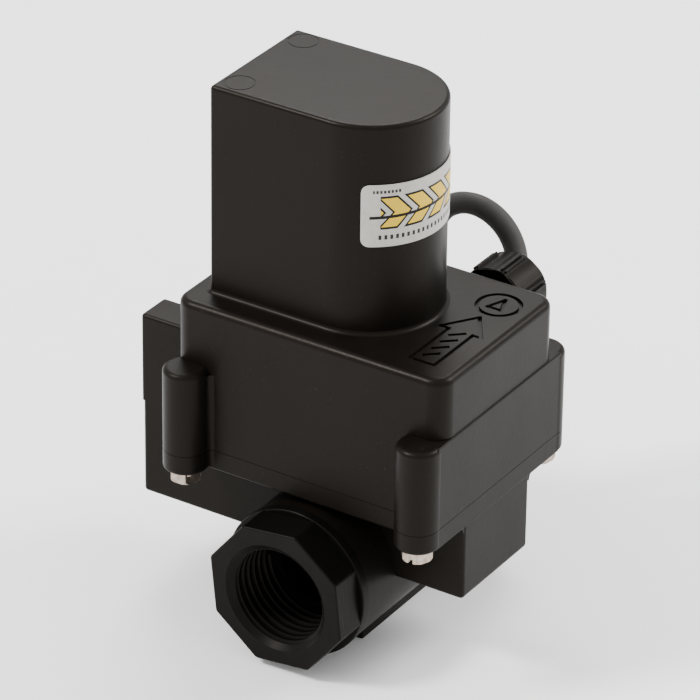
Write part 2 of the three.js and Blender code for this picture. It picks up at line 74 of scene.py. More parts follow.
# ---- cable: two insulated cores in a soft dark grey jacket, 4.4 mm over all ----
# It leaves the gland, hangs down behind the housing and is wound on the floor: two turns side by
# side and one lying in the groove between them. The jacket is extruded, so it is smooth and dull.
class Value:
    """The output of a shader node, which can stand in a sum."""

    def __init__(self, finish, socket):
        self.finish = finish
        self.socket = socket

    def sum(self, operation, first, second=0.0):
        return self.finish.add("ShaderNodeMath", {"operation": operation}, {0: first, 1: second})

    def __add__(self, other):
        return self.sum("ADD", self, other)

    __radd__ = __add__

    def __sub__(self, other):
        return self.sum("SUBTRACT", self, other)

    def __rsub__(self, other):
        return self.sum("SUBTRACT", other, self)

    def __mul__(self, other):
        return self.sum("MULTIPLY", self, other)

    __rmul__ = __mul__

    def __gt__(self, other):
        return self.sum("GREATER_THAN", self, other)

    def __lt__(self, other):
        return self.sum("LESS_THAN", self, other)

    def __abs__(self):
        return self.sum("ABSOLUTE", self)


class Finish:
    """One material, with its fixed settings on the shader's own sockets."""

    def __init__(self, name, **fixed):
        self.material = bpy.data.materials.new(name)
        self.material.use_nodes = True
        self.tree = self.material.node_tree
        self.shader = self.tree.nodes["Principled BSDF"]
        for socket, value in fixed.items():
            self.shader.inputs[socket.replace("_", " ")].default_value = value

    def add(self, kind, settings, inputs, output=0):
        node = self.tree.nodes.new(kind)
        for key, value in settings.items():
            if key == "stops":
                ramp = node.color_ramp
                while len(ramp.elements) < len(value):
                    ramp.elements.new(0.5)
                for stop, (place, colour) in zip(ramp.elements, value):
                    stop.position = place
                    stop.color = colour
            else:
                setattr(node, key, value)
        for key, value in inputs.items():
            self.fit(node.inputs[key], value)
        return Value(self, node.outputs[output])

    def fit(self, socket, value):
        """Links another node's output to a socket, or sets the socket to a fixed value."""
        if isinstance(value, Value):
            self.tree.links.new(value.socket, socket)
        else:
            socket.default_value = value

    def place(self):
        return self.add("ShaderNodeTexCoord", {}, {}, "Object")

    def noise(self, scale, detail=3.0, roughness=0.55, stretch=None):
        where = self.place()
        if stretch:
            where = self.add("ShaderNodeMapping", {}, {"Vector": where, "Scale": stretch})
        inputs = {"Vector": where, "Scale": scale, "Detail": detail, "Roughness": roughness}
        return self.add("ShaderNodeTexNoise", {}, inputs, 0)

    def ramp(self, value, stops):
        return self.add("ShaderNodeValToRGB", {"stops": stops}, {"Fac": value})

    def blend(self, amount, first, second):
        inputs = {0: amount, 6: first, 7: second}
        return self.add("ShaderNodeMix", {"data_type": "RGBA"}, inputs, 2)

    def fraction(self, value, pitch):
        """How far a value is through its current pitch, from 0 to 1."""
        return self.add("ShaderNodeMath", {"operation": "FRACT"}, {0: value * (1 / pitch)})

    def wave(self, value, pitch):
        """A rounded ridge for each pitch, from 0 to 1."""
        return self.add("ShaderNodeMath", {"operation": "SINE"}, {0: self.fraction(value, pitch) * math.pi})

    def most(self, first, second):
        return self.add("ShaderNodeMath", {"operation": "MAXIMUM"}, {0: first, 1: second})

    def feed(self, **channels):
        for key, value in channels.items():
            self.tree.links.new(value.socket, self.shader.inputs[key.replace("_", " ")])
        return self

    def bump(self, height, depth, strength=1.0):
        inputs = {"Height": height, "Distance": depth, "Strength": strength}
        return self.feed(Normal=self.add("ShaderNodeBump", {}, inputs))


def grey(level, warmth=1.0):
    """A near neutral colour, a little red of neutral where warmth is over 1."""
    return (level * warmth, level, level / warmth, 1)


def cable_jacket(name):
    finish = Finish(name, Specular_IOR_Level=0.1)
    handled = finish.noise(260, 4)
    finish.feed(
        Base_Color=finish.ramp(handled, [(0.3, grey(0.032, 1.06)), (0.7, grey(0.045, 1.06))]),
        Roughness=finish.ramp(handled, [(0.3, grey(0.46)), (0.7, grey(0.6))]),
    )
    return finish.bump(finish.noise(2600, 2, 0.5), 0.00006, 0.5).material


def dress(piece, material):
    """Gives a piece its only material."""
    piece.data.materials.clear()
    piece.data.materials.append(material)


cable_diameter = 4.4
cable_run = [
    (12.9, 24, 58.6), (12.9, 27.2, 58.6), (12.9, 30.5, 58.6), (12.5, 34.1, 59.2),
    (11.2, 37.2, 60.8), (9.3, 39.3, 63.2), (7, 40, 66.1), (4, 40, 68.5),
    (0.3, 40, 69.6), (-3.6, 40, 69.1), (-6.9, 40, 67.1), (-9.1, 40, 64),
    (-9.9, 40, 60.2), (-8.8, 39.5, 50.5), (-6.1, 38.4, 40.8), (-2.8, 37.1, 31.1),
    (-0.1, 36, 21.4), (1, 35.5, 11.7), (0.9, 36.2, 8.1), (0.3, 38.2, 5),
    (-0.5, 41.2, 2.9), (-1.4, 44.7, 2.2),
]
cable_tail = [
    (-53.8, 61.4, 6.2), (-54.2, 57.9, 6.5), (-53.2, 54.5, 6.8), (-51.1, 51.8, 6.5),
    (-48.2, 50.1, 5.9), (-45, 49.5, 5.2), (-42.3, 49.5, 5), (-40.2, 49.5, 5), (-38.3, 49.5, 5),
]


def ease(value, start, length):
    """Rises smoothly from 0 to 1 over a stretch of turning."""
    share = min(max((value - start) / length, 0), 1)
    return share * share * (3 - 2 * share)


def coil_turns(centre, low, spacing, climb):
    """Two floor turns, the second inside the first, then one on top in the groove between them."""
    for turn in range(15, 871, 15):
        inward = ease(turn, 245, 127)
        groove = ease(turn, 585, 35)
        crossing = 0.5 * math.exp(-(((turn - 668) / 30) ** 2))
        radius = spacing * (5.95 - inward + groove / 2)
        height = low + climb * ease(turn, 550, 45) + crossing
        angle = math.radians(turn)
        yield (centre[0] + radius * math.cos(angle), centre[1] + radius * math.sin(angle), height)


coil_centre = (-31, 54)
route = cable_run + list(coil_turns(coil_centre, cable_diameter / 2, cable_diameter, 3.95)) + cable_tail
cable_curve = bpy.data.curves.new("cable", "CURVE")
cable_curve.dimensions = "3D"
cable_curve.bevel_depth = cable_diameter / 2 * MM
cable_curve.bevel_resolution = 5
cable_curve.use_fill_caps = True
cable_curve.resolution_u = 5
spline = cable_curve.splines.new("NURBS")
spline.points.add(len(route) - 1)
for point, place in zip(spline.points, route):
    point.co = (*(MM * value for value in place), 1)
spline.order_u = 4
spline.use_endpoint_u = True
cable = bpy.data.objects.new("cable", cable_curve)
bpy.context.collection.objects.link(cable)
dress(cable, cable_jacket("jacket"))
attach(cable, "housing")
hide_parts("cable_run", "cable_coil", "cable_tail")


# ---- cover: a moulded glass-filled nylon hood over the solenoid and its board ----
# One black moulding: a rounded box, a tower with one flat end, four screw columns, a hollow wing
# for the board and a mark sunk in its top. Four screws from below hold it down on the gasket.
def only(piece):
    bpy.ops.object.select_all(action="DESELECT")
    piece.select_set(True)
    bpy.context.view_layer.objects.active = piece


def settle(name):
    """Names the primitive just added, with its place in its mesh."""
    piece = bpy.context.object
    piece.name = name
    piece.data.name = name
    only(piece)
    bpy.ops.object.transform_apply(location=True, rotation=True, scale=True)
    return piece


def block(name, low, high, turn=0):
    centre = [MM * (a + b) / 2 for a, b in zip(low, high)]
    size = [MM * (b - a) for a, b in zip(low, high)]
    bpy.ops.mesh.primitive_cube_add(size=1, location=centre, scale=size, rotation=(0, 0, turn))
    return settle(name)


def rod(name, start, length, radius, axis="Z", sides=64, turn=0, tip=None):
    """A cylinder or cone from start along an axis; turn is about that axis."""
    lean = {"X": (0, math.pi / 2, 0), "Y": (-math.pi / 2, -turn, 0), "Z": (0, 0, turn)}[axis]
    way = Vector([length / 2 * (letter == axis) for letter in "XYZ"])
    bpy.ops.mesh.primitive_cone_add(
        vertices=sides,
        radius1=radius * MM,
        radius2=(radius if tip is None else tip) * MM,
        depth=abs(length) * MM,
        location=(Vector(start) + way) * MM,
        rotation=lean,
    )
    return settle(name)


def choose(piece, kind, test):
    """Opens a piece for editing, with only the faces or edges that pass the test selected."""
    only(piece)
    bpy.ops.object.mode_set(mode="EDIT")
    bpy.ops.mesh.select_mode(type=kind)
    bpy.ops.mesh.select_all(action="DESELECT")
    mesh = bmesh.from_edit_mesh(piece.data)
    for element in list(mesh.faces if kind == "FACE" else mesh.edges):
        if test(element):
            element.select_set(True)
    bmesh.update_edit_mesh(piece.data)


def leave():
    bpy.ops.object.mode_set(mode="OBJECT")


def faces_along(axis, sign=1):
    return lambda face: sign * face.normal["XYZ".index(axis)] > 0.99


def edges_along(axis):
    def test(edge):
        way = (edge.verts[1].co - edge.verts[0].co).normalized()
        return abs(way["XYZ".index(axis)]) > 0.99
    return test


def rim_of(axis, place):
    """The sharp edges that lie in one plane across an axis."""
    number = "XYZ".index(axis)

    def test(edge):
        level = all(abs(vertex.co[number] - place * MM) < 2e-6 for vertex in edge.verts)
        return level and edge.calc_face_angle(0) > 0.6
    return test


def soften(piece, test, width, steps=4):
    """Rounds the edges that pass the test."""
    choose(piece, "EDGE", test)
    bpy.ops.mesh.bevel(offset=width * MM, segments=steps, profile=0.5, affect="EDGES", clamp_overlap=False)
    leave()


def rim_steps(radius, steps=6):
    """Insets and rises that round a top edge over."""
    turns = [math.pi / 2 * i / steps for i in range(steps + 1)]
    return [
        (radius * (math.cos(a) - math.cos(b)), radius * (math.sin(b) - math.sin(a)))
        for a, b in zip(turns, turns[1:])
    ]


def foot_steps(radius, steps=6):
    """Insets and rises that sweep a wide foot up into a wall."""
    turns = [math.pi / 2 * i / steps for i in range(steps + 1)]
    return [
        (radius * (math.sin(b) - math.sin(a)), radius * (math.cos(a) - math.cos(b)))
        for a, b in zip(turns, turns[1:])
    ]


def climb(piece, axis, sign, steps):
    """Takes the end face of a piece along its axis through insets and rises."""
    choose(piece, "FACE", faces_along(axis, sign))
    for inward, up in steps:
        way = [sign * up * MM * (letter == axis) for letter in "XYZ"]
        if inward:
            bpy.ops.mesh.inset(thickness=inward * MM, use_boundary=True, use_even_offset=True)
            bpy.ops.transform.translate(value=way)
        else:
            bpy.ops.mesh.extrude_region_move(TRANSFORM_OT_translate={"value": way})
    leave()


def combine(piece, others, operation, tangled=False):
    """Joins the others on to a piece, or cuts them out of it."""
    for other in others:
        only(piece)
        modifier = piece.modifiers.new("combine", "BOOLEAN")
        modifier.operation = operation
        modifier.solver = "EXACT"
        modifier.use_self = tangled
        modifier.object = other
        bpy.ops.object.modifier_apply(modifier=modifier.name)
        bpy.data.objects.remove(other)


def smooth(piece, degrees=38):
    """Smooth shading that keeps the flats flat and the corners crisp."""
    only(piece)
    bpy.ops.object.shade_smooth_by_angle(angle=math.radians(degrees))
    modifier = piece.modifiers.new("even shading", "WEIGHTED_NORMAL")
    modifier.keep_sharp = True
    bpy.ops.object.modifier_apply(modifier=modifier.name)


housing_half = (30, 20.4)
housing_corner = 3.8
cover_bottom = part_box("cover")[0].z / MM
tower_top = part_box("cover")[1].z / MM
cover_top = 67.2
column_top = 54.5
column_at = (26, 22)
column_radius = 4.4
web_radius = 1.2
wing_top = 55.9
wing_front = -12.1
wing_back = -4.1
side_face = 30.3
block_end = -43
block_half_y = 11.9
tower_flat = -25.4
tower_centre = 0.6
tower_half = 14.67
wall = 3.4


def rounded_box(name, half, corner, low, high, round_top):
    """A box with rounded uprights, its top edge rounded over."""
    body = block(name, (-half[0], -half[1], low), (half[0], half[1], high - round_top))
    soften(body, edges_along("Z"), corner, 10)
    if round_top:
        climb(body, "Z", 1, rim_steps(round_top, 5))
    return body


def tower_solid(name, spread, low, steps):
    """The tower's plan, flat at one end and half round at the other, raised through steps."""
    half = tower_half + spread
    solid = rod(name, (tower_centre, 0, low), 0.4, half, sides=128)
    choose(solid, "FACE", lambda face: True)
    bpy.ops.mesh.bisect(
        plane_co=(tower_centre * MM, 0, 0), plane_no=(1, 0, 0), use_fill=True, clear_inner=True)
    leave()
    choose(solid, "FACE", faces_along("X", -1))
    reach = (tower_flat - spread - tower_centre) * MM
    bpy.ops.mesh.extrude_region_move(TRANSFORM_OT_translate={"value": (reach, 0, 0)})
    leave()
    soften(solid, lambda edge: edges_along("Z")(edge) and edge.verts[0].co.x < tower_flat * MM / 2,
           0.7 + spread if spread > -0.5 else 0.3, 5)
    climb(solid, "Z", 1, steps)
    return solid


cover = rounded_box("cover_shell", housing_half, housing_corner, cover_bottom, cover_top, 1.5)
foot = 1.0
crown = 0.9
tower = tower_solid("tower", foot, cover_top - 0.42, [
    *foot_steps(foot),
    (0, tower_top - crown - cover_top - foot + 0.02),
    *rim_steps(crown),
])


def block_between(name, first, second):
    """A block between two opposite corners, given in either order."""
    pairs = list(zip(first, second))
    return block(name, [min(pair) for pair in pairs], [max(pair) for pair in pairs])


def web(sx, sy, low, high):
    """The hollow sweep that joins a column to the long wall, on the side towards the middle."""
    sweep = web_radius
    x, wall_y = sx * column_at[0], sy * housing_half[1]
    proud = column_at[1] - housing_half[1]
    reach = math.sqrt((column_radius + sweep) ** 2 - (sweep - proud) ** 2)
    touch = proud + (sweep - proud) * column_radius / (column_radius + sweep)
    ends = ((x - sx * reach, wall_y - sy, low), (x, wall_y + sy * touch, high))
    piece = block_between("web", *ends)
    gouge = rod("gouge", (x - sx * reach, wall_y + sy * sweep, low - 5), high - low + 10, sweep, sides=48)
    combine(piece, [gouge], "DIFFERENCE")
    return piece


def column(sx, sy):
    """A screw column with a rounded head, and the sweeps that blend it into the long wall."""
    x, y = sx * column_at[0], sy * column_at[1]
    post = rod("column", (x, y, cover_bottom), column_top - cover_bottom - 1.1, column_radius, sides=56)
    climb(post, "Z", 1, rim_steps(1.1, 5))
    combine(post, [web(sx, sy, cover_bottom, column_top - 1.3)], "UNION")
    return post


corners = [(sx, sy) for sx in (1, -1) for sy in (1, -1)]
wing = block("wing", (-43.2, wing_front, cover_bottom), (-28.5, wing_back, wing_top))
soften(wing, lambda edge: max(vertex.co.z for vertex in edge.verts) > 0.05, 0.8, 4)
side_pad = block(
    "side_pad", (column_at[0], -column_at[1], cover_bottom), (side_face, column_at[1], column_top))
soften(side_pad, rim_of("Z", column_top), 0.28, 3)
combine(cover, [*(column(sx, sy) for sx, sy in corners), wing, side_pad, tower], "UNION")

room_half = [half - wall for half in housing_half]
room = rounded_box("room", room_half, housing_corner - wall, cover_bottom - 2, cover_top - 2.4, 0)
tower_room = tower_solid("tower_room", -2.2, cover_top - 5, [(0, tower_top - cover_top + 2.3)])
board_slot = block("board_slot", (-41, -9.3, cover_bottom - 2), (-26, -6.1, 53))
holes = [rod("hole", (sx * column_at[0], sy * column_at[1], 30), 21, 1.75, sides=24) for sx, sy in corners]
gland_x, gland_z = 12.9, 58.6
cable_hole = rod("cable_hole", (gland_x, 15, gland_z), 9, 5.5, "Y", 48)
combine(cover, [room, tower_room, board_slot, *holes, cable_hole], "DIFFERENCE")

# two faint rings on the tower's top, where the mould's pins push it out
for side in (1, -1):
    pin_mark = rod("pin_mark", (-21.3, side * 10.7, tower_top - 0.07), 1, 3.0, sides=48)
    pin_face = rod("pin_face", (-21.3, side * 10.7, tower_top - 0.3), 2, 2.8, sides=48)
    combine(pin_mark, [pin_face], "DIFFERENCE")
    combine(cover, [pin_mark], "DIFFERENCE")


# the sunk mark: a ring with a pointer in it, and an outlined arrow along the flow with bars in it
def stroke(start, end, width=0.8):
    middle = [(a + b) / 2 for a, b in zip(start, end)]
    way = (end[0] - start[0], end[1] - start[1])
    long = math.hypot(*way) + width
    bpy.ops.mesh.primitive_cube_add(
        size=1,
        location=(middle[0] * MM, middle[1] * MM, (cover_top + 0.4) * MM),
        rotation=(0, 0, math.atan2(way[1], way[0])),
        scale=(long * MM, width * MM, 2 * MM),
    )
    return settle("stroke")


arrow = [(19.4, -15), (24.6, -15), (24.6, -1.5), (26.4, -1.5), (22, 5.2), (17.6, -1.5), (19.4, -1.5)]
strokes = [stroke(a, b) for a, b in zip(arrow, arrow[1:] + arrow[:1])]
strokes += [stroke((21, y), (23, y + 1.8)) for y in (-12.6, -9.6, -6.6, -3.6)]
strokes += [stroke((24, 9.7), (21, 9.7)), stroke((21, 9.7), (22.5, 13.6)), stroke((22.5, 13.6), (24, 9.7))]
only(strokes[0])
for extra in strokes[1:]:
    extra.select_set(True)
bpy.ops.object.join()
ring = rod("ring", (22.5, 11.3, cover_top - 0.6), 2, 4.6, sides=56)
combine(ring, [rod("inside", (22.5, 11.3, cover_top - 1), 4, 3.75, sides=56)], "DIFFERENCE")
combine(cover, [strokes[0]], "DIFFERENCE", tangled=True)
combine(cover, [ring], "DIFFERENCE")
smooth(cover)


def moulded_nylon(name, base=0.0034, sheen=0.36):
    """Black glass-filled nylon: a fine moulded grain, faint flow clouds and a few pale specks."""
    finish = Finish(name, Specular_IOR_Level=0.085, Specular_Tint=(1, 0.9, 0.8, 1))
    clouds = finish.noise(55, 4, 0.6, (1, 1, 0.45))
    grain = finish.noise(2400, 3, 0.6)
    dust = finish.noise(1500, 1, 0.4)
    specks = finish.ramp(dust, [(0.74, grey(0)), (0.78, grey(1))])
    cloudy = finish.ramp(clouds, [(0.3, grey(base * 0.82, 1.3)), (0.72, grey(base * 1.25, 1.26))])
    uneven = clouds * 0.7 + grain * 0.3
    finish.feed(
        Base_Color=finish.blend(specks * 0.3, cloudy, grey(0.025, 1.12)),
        Roughness=finish.ramp(uneven, [(0.3, grey(sheen - 0.05)), (0.7, grey(sheen + 0.08))]),
    )
    dimples = finish.noise(700, 2, 0.5)
    return finish.bump(grain * 0.6 + dimples * 0.6, 0.00006, 0.4).material


nylon = moulded_nylon("black_nylon")
dress(cover, nylon)
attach(cover, "housing")
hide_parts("cover")


# ---- valve body: the lower moulding, with the flow passages through it ----
# Base plate and screw bosses under the cover, a cross block and the round barrel that holds both
# end fittings, and a square pad to stand on. The same black nylon as the cover.
port_z = 16.2
plate_bottom = 32.7
seam = 36.9
block_bottom = 16.5
barrel_radius = 15.2
barrel_end = 21.4

body = block("body_shell", (-housing_half[0], -housing_half[1], plate_bottom), (*housing_half, seam))
soften(body, edges_along("Z"), housing_corner, 10)
soften(body, rim_of("Z", plate_bottom), 0.5, 3)
cross = block(
    "cross", (block_end, -block_half_y, block_bottom), (housing_half[0], block_half_y, plate_bottom + 1))
soften(cross, lambda edge: True, 0.9, 4)
barrel = rod("barrel", (0, -barrel_end, port_z), 2 * barrel_end, barrel_radius, "Y", 128)
pad = block("pad", (-7.9, -block_half_y, 0), (7.9, block_half_y, port_z))
soften(pad, edges_along("Z"), 0.6, 3)
soften(pad, rim_of("Z", 0), 0.3, 2)
wing_foot = block("wing_foot", (block_end, -block_half_y, plate_bottom - 2), (-29, wing_back, seam))
soften(wing_foot, edges_along("Z"), 0.9, 4)
side_band = block("side_band", (column_at[0], -column_at[1], plate_bottom), (side_face, column_at[1], seam))
soften(side_band, rim_of("Z", plate_bottom), 0.28, 3)


def boss(sx, sy):
    x, y = sx * column_at[0], sy * column_at[1]
    post = rod("boss", (x, y, plate_bottom + 0.7), seam - plate_bottom - 0.7, column_radius, sides=56)
    climb(post, "Z", -1, rim_steps(0.7, 3))
    combine(post, [web(sx, sy, plate_bottom + 0.7, seam)], "UNION")
    return post


def corner_sweep(y, side):
    """The sweep between the block's long side and the plate above it."""
    radius = 1.5
    ends = ((-29, y - side * 0.3, plate_bottom - radius), (29.9, y + side * radius, plate_bottom + 0.2))
    strip = block_between("sweep", *ends)
    gouge = rod("gouge", (-31, y + side * radius, plate_bottom - radius), 61, radius, "X", 48)
    combine(strip, [gouge], "DIFFERENCE")
    return strip


combine(body, [
    cross, pad, wing_foot, side_band,
    *(boss(sx, sy) for sx, sy in corners),
    corner_sweep(-block_half_y, -1), corner_sweep(block_half_y, 1),
    barrel,
], "UNION")
sockets = [rod("socket", (0, side * 12.2, port_z), side * 12.8, 12.5, "Y", 96) for side in (1, -1)]
passages = [
    rod("chamber", (0, 0, 34.4), 6, 13.9),
    rod("seat_bore", (0, 0, port_z), 16, 4.6),
    rod("outlet_passage", (0, -4.6, port_z), 18.6, 6.5, "Y"),
    rod("inlet_passage", (0, -14, port_z), 6.6, 6.5, "Y"),
]
screw_bores = [rod("bore", (sx * column_at[0], sy * column_at[1], 30), 10, 2, sides=24) for sx, sy in corners]
combine(body, [*sockets, *passages, *screw_bores], "DIFFERENCE")
smooth(body)
dress(body, moulded_nylon("black_nylon_body", 0.0032, 0.35))
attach(body, "housing")
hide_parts("valve_body")


# ---- end fittings: threaded inserts, turned and milled from black acetal ----
# An octagon to hold a spanner, a round collar that meets the barrel, a spigot with its seal
# groove inside, and a female pipe thread cut from the mouth inwards.
fitting_face = 30.5
fitting_radius = 15.4
octagon_from = 23.5
octagon_turn = math.radians(28.7)
thread_pitch = 1.814
thread_root = 10.75
thread_crest = 9.75


def thread_cutter(name):
    """A screw of V section, which narrows inwards as a pipe thread does."""
    turns = 8
    start = fitting_face + thread_pitch
    bpy.ops.mesh.primitive_circle_add(vertices=3, radius=1, fill_type="NGON")
    tooth = settle(name)
    half_base = thread_pitch * 0.47
    section = [(thread_root, 0), (thread_crest - 0.5, half_base), (thread_crest - 0.5, -half_base)]
    for vertex, (radius, along) in zip(tooth.data.vertices, section):
        vertex.co = (radius * MM, 0, along * MM)
    screw = tooth.modifiers.new("thread", "SCREW")
    screw.axis = "Z"
    screw.steps = screw.render_steps = 72
    screw.iterations = turns
    screw.screw_offset = thread_pitch * MM
    only(tooth)
    bpy.ops.object.modifier_apply(modifier="thread")
    choose(tooth, "EDGE", lambda edge: edge.is_boundary)
    bpy.ops.mesh.edge_face_add()
    leave()
    return tooth, start, turns


def end_fitting(name):
    head = rod(name, (0, octagon_from - 0.3, port_z), fitting_face - octagon_from + 0.3,
               fitting_radius, "Y", 8, math.pi / 2 - octagon_turn)
    soften(head, edges_along("Y"), 0.45, 3)
    soften(head, rim_of("Y", fitting_face), 0.35, 3)
    collar = rod("collar", (0, 21.7, port_z), octagon_from - 21.7, fitting_radius, "Y", 128)
    soften(collar, rim_of("Y", octagon_from), 0.3, 3)
    spigot = rod("spigot", (0, 14.6, port_z), 8, 12.2, "Y", 96)
    combine(head, [collar, spigot], "UNION")
    mouth = rod("mouth", (0, fitting_face - 1.2, port_z), 1.25, thread_crest + 0.1, "Y", 96,
                tip=11.25)
    bore = rod("bore", (0, 17, port_z), 20, thread_crest, "Y", 96)
    throat = rod("throat", (0, 12, port_z), 6, 7.5, "Y", 96)
    combine(head, [bore, throat, mouth], "DIFFERENCE")
    tooth, start, turns = thread_cutter("tooth")
    only(tooth)
    tooth.rotation_euler = (-math.pi / 2, 0, 0)
    tooth.location = (0, (start - turns * thread_pitch) * MM, port_z * MM)
    bpy.ops.object.transform_apply(location=True, rotation=True, scale=True)
    choose(tooth, "FACE", lambda face: True)
    bpy.ops.mesh.normals_make_consistent(inside=False)
    leave()
    combine(head, [tooth], "DIFFERENCE", tangled=True)
    return head


inlet = end_fitting("inlet_end")
smooth(inlet, 32)
outlet = inlet.copy()
outlet.data = inlet.data.copy()
outlet.name = outlet.data.name = "outlet_end"
bpy.context.collection.objects.link(outlet)
only(inlet)
inlet.rotation_euler = (0, 0, math.pi)
bpy.ops.object.transform_apply(location=True, rotation=True, scale=True)


def turned_acetal(name):
    """Black acetal as the cutter leaves it: fine rings round the flow's line, a little glossier."""
    finish = Finish(name, Specular_IOR_Level=0.075, Specular_Tint=(1, 0.92, 0.85, 1))
    clouds = finish.noise(90, 3)
    tooling = finish.noise(900, 2, 0.5, (0.25, 3, 0.25))
    finish.feed(
        Base_Color=finish.ramp(clouds, [(0.3, grey(0.0018, 1.1)), (0.7, grey(0.003, 1.1))]),
        Roughness=finish.ramp(tooling, [(0.3, grey(0.32)), (0.7, grey(0.45))]),
    )
    return finish.bump(tooling, 0.00006, 0.5).material


acetal = turned_acetal("black_acetal")
for fitting, node in ((inlet, "inlet_fitting"), (outlet, "outlet_fitting")):
    dress(fitting, acetal)
    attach(fitting, "housing")
    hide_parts(node)


# ---- cover screws: four slotted hexagon-head screws of bright zinc-plated steel ----
# Each head is chamfered and has a collar under it, and a slot across for a plain driver. They go
# up through the plate's bosses into the cover's columns, heads below.
def machine_screw(name):
    head_top, head_low = 32.4, 30.1
    screw = rod(name, (0, 0, head_low), head_top - head_low, 3.25, sides=6)
    crown_cut = rod("crown", (0, 0, head_low - 0.4), head_top - head_low + 0.4, 2.75, sides=64, tip=4.1)
    combine(screw, [crown_cut], "INTERSECT")
    collar = rod("collar", (0, 0, head_top - 0.45), 0.45, 3.1, sides=48)
    shank = rod("shank", (0, 0, head_top - 1), 17.5, 1.45, sides=32)
    soften(shank, rim_of("Z", head_top + 16.5), 0.3, 2)
    combine(screw, [collar, shank], "UNION")
    combine(screw, [block("slot", (-4, -0.45, head_low - 1), (4, 0.45, head_low + 0.8))], "DIFFERENCE")
    smooth(screw, 30)
    return screw


def plated_steel(name):
    """Bright zinc over steel, warm from its passivation, with fine turning marks and dull spots."""
    finish = Finish(name, Metallic=1.0)
    spots = finish.noise(900, 4, 0.6)
    lines = finish.noise(2500, 2, 0.5, (1, 1, 4))
    finish.feed(
        Base_Color=finish.ramp(spots, [(0.35, (0.28, 0.225, 0.18, 1)), (0.65, (0.47, 0.395, 0.33, 1))]),
        Roughness=finish.ramp(spots * 0.6 + lines * 0.4, [(0.3, grey(0.24)), (0.7, grey(0.42))]),
    )
    return finish.bump(lines, 0.00003, 0.5).material


zinc = plated_steel("zinc_plate")
pattern_screw = machine_screw("cover_screw")
places = {
    "right_rear": (1, 1, 0.9),
    "left_rear": (-1, 1, 2.2),
    "left_front": (-1, -1, 0.566),
    "right_front": (1, -1, 1.69),
}
for corner_name, (sx, sy, turn) in places.items():
    screw = pattern_screw.copy()
    screw.data = pattern_screw.data.copy()
    screw.name = screw.data.name = "screw_" + corner_name
    bpy.context.collection.objects.link(screw)
    only(screw)
    screw.rotation_euler = (0, 0, turn)
    screw.location = (sx * column_at[0] * MM, sy * column_at[1] * MM, 0)
    bpy.ops.object.transform_apply(location=True, rotation=True, scale=True)
    dress(screw, zinc)
    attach(screw, "housing")
    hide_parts("cover_screw_" + corner_name)
bpy.data.objects.remove(pattern_screw)


# ---- cable gland: nut and body moulded in black nylon, on the cover's rear wall ----
# The nut has seven grip ribs over its flats. Tightened, it squeezes a rubber sleeve on the cable.
nut_front, nut_end = 25.2, 34.2
rib_count = 7
rib_radius = 7.55
first_rib = math.radians(75)
rib_step = 2 * math.pi / rib_count

gland_nut = rod("gland_cap", (gland_x, nut_front, gland_z), nut_end - nut_front, 7.45, "Y",
                rib_count, math.pi / 2 - first_rib)
drum = rod("drum", (gland_x, nut_front, gland_z), nut_end - nut_front, 7.12, "Y", 112)
soften(drum, rim_of("Y", nut_end), 0.7, 5)
soften(drum, rim_of("Y", nut_front), 0.3, 3)
combine(gland_nut, [drum], "INTERSECT")
core_length = nut_end - nut_front - 0.9
barrel_core = rod("barrel_core", (gland_x, nut_front + 0.3, gland_z), core_length, 6.9, "Y", 112)
combine(gland_nut, [barrel_core], "UNION")


def grip_rib(angle, low, high, half_width, reach):
    """A bar across two opposite radii, cut back to one of them."""
    rib = block("rib", (5.6, low, -half_width), (reach, high, half_width))
    soften(rib, lambda edge: max(vertex.co.x for vertex in edge.verts) > 0.006, 0.14, 2)
    only(rib)
    rib.rotation_euler = (0, -angle, 0)
    rib.location = (gland_x * MM, 0, gland_z * MM)
    bpy.ops.object.transform_apply(location=True, rotation=True, scale=True)
    return rib


for number in range(rib_count):
    angle = first_rib + number * rib_step
    offset = math.radians(3.6)
    pair = [grip_rib(angle + lean, nut_front + 0.5, nut_end - 1.2, 0.2, rib_radius)
            for lean in (-offset, offset)]
    combine(gland_nut, pair, "UNION")
thread_bore = rod("thread_bore", (gland_x, nut_front - 1, gland_z), 7.7, 5.1, "Y", 64)
cable_bore = rod("cable_bore", (gland_x, nut_front, gland_z), 12, 3.1, "Y", 64)
flare = rod("flare", (gland_x, nut_end - 1.3, gland_z), 1.5, 3.0, "Y", 64, tip=4.1)
combine(gland_nut, [thread_bore, cable_bore, flare], "DIFFERENCE")
smooth(gland_nut)
dress(gland_nut, moulded_nylon("gland_nylon", 0.003, 0.36))
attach(gland_nut, "housing")
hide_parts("gland_nut")


# ---- label: printed vinyl on the tower's round end ----
# A pale sticker 0.2 mm thick with rounded corners, printed with flow chevrons and a scale.
label_low, label_high = (corner.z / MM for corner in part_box("label"))
label_radius = tower_half + 0.08
label_spread = math.radians(64)
label_length = 2 * label_spread * label_radius
label_height = label_high - label_low
bpy.ops.mesh.primitive_plane_add(size=1, location=(0, 0, 0))
label = bpy.context.object
label.scale = (label_length * MM, label_height * MM, 1)
label = settle("printed_label")
choose(label, "EDGE", lambda edge: True)
bpy.ops.mesh.bevel(offset=1.6 * MM, segments=6, affect="VERTICES", clamp_overlap=False)
slices = 40
for number in range(1, slices):
    bpy.ops.mesh.select_all(action="SELECT")
    across = (number / slices - 0.5) * label_length * MM
    bpy.ops.mesh.bisect(plane_co=(across, 0, 0), plane_no=(1, 0, 0))
leave()
while label.data.uv_layers:
    label.data.uv_layers.remove(label.data.uv_layers[0])
print_map = label.data.uv_layers.new(name="print")
for loop in label.data.loops:
    flat = label.data.vertices[loop.vertex_index].co
    print_map.data[loop.index].uv = (flat.x / MM / label_length + 0.5, flat.y / MM / label_height + 0.5)
